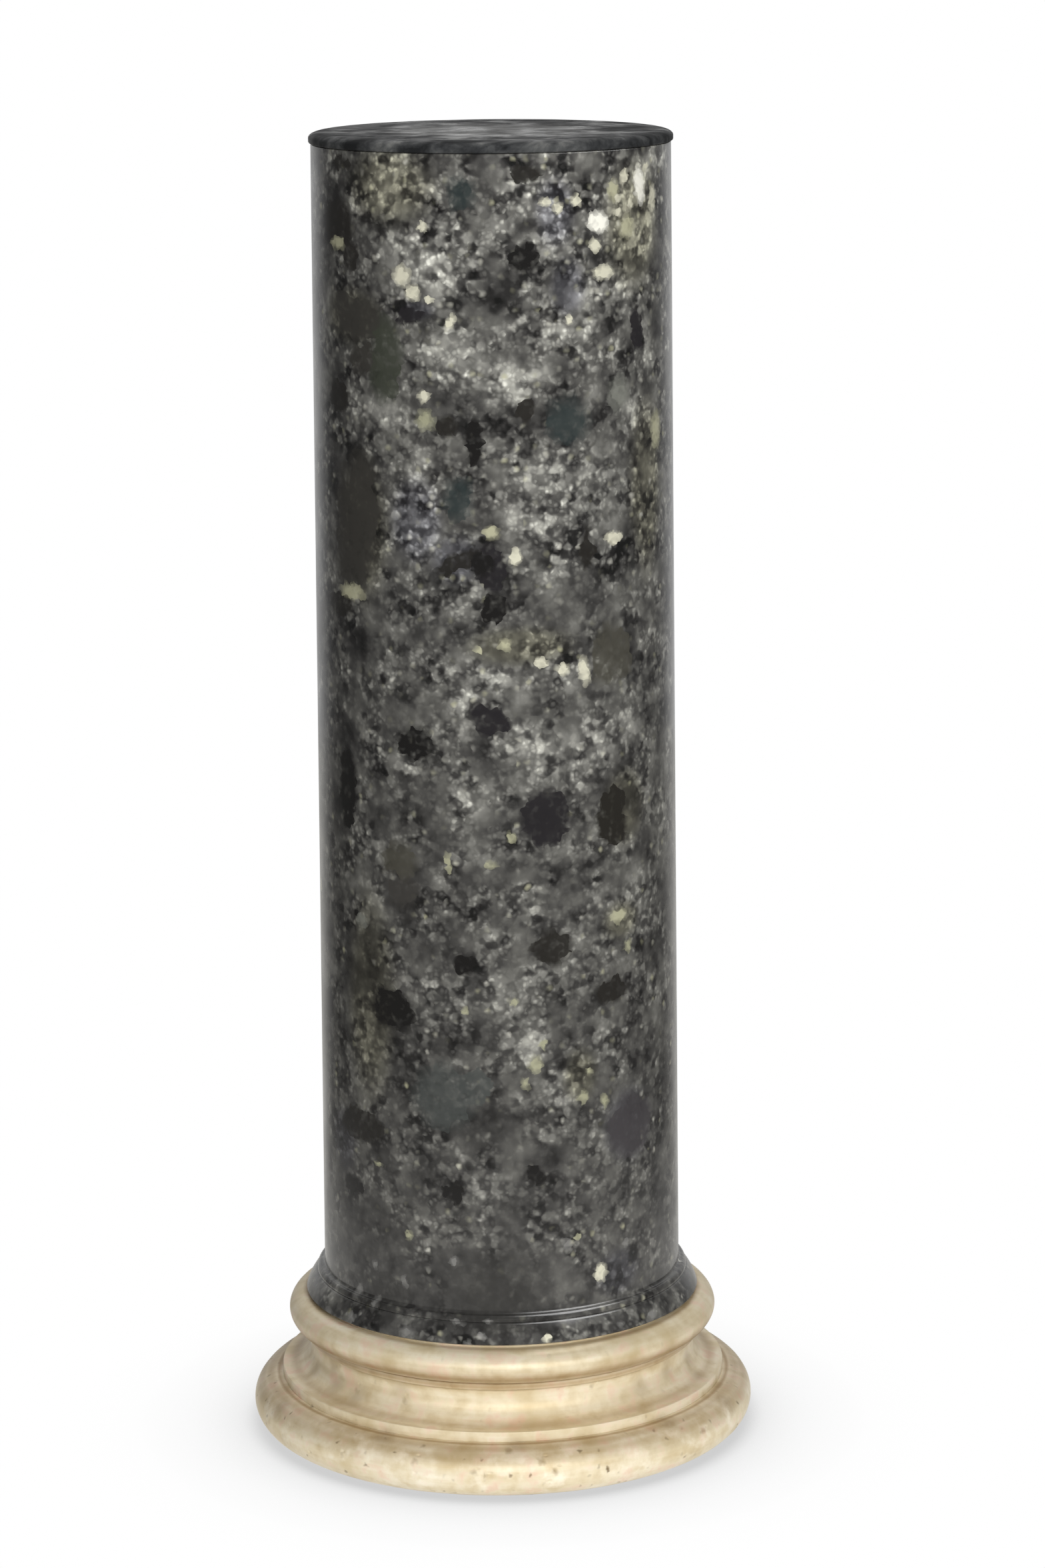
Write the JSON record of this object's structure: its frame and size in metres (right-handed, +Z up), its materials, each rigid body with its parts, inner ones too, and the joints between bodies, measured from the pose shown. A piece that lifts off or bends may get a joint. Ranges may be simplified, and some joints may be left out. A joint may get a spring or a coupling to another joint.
{
  "type": "scagliola column",
  "caption": "Round pedestal column: a tapering drum of dark speckled scagliola with a flared foot, under a thin dark disc and on a turned giltwood base.",
  "frame": {"origin": "middle of the flat underside, on the floor", "axes": "+Z up along the turning axis, from the base to the top disc"},
  "size_m": [0.428, 0.428, 1.1],
  "materials": {
    "slate": "honed dark stone, smooth and slightly dusty",
    "scagliola": "polished dark grey scagliola, finely speckled, with scattered ivory, green-grey and black inclusions",
    "gilding": "worn pale gilding on turned and gessoed wood, browner in the hollows"
  },
  "bodies": {
    "root": {"top_disc": "slate", "shaft": "scagliola", "base": "gilding"}
  },
  "joints": []
}
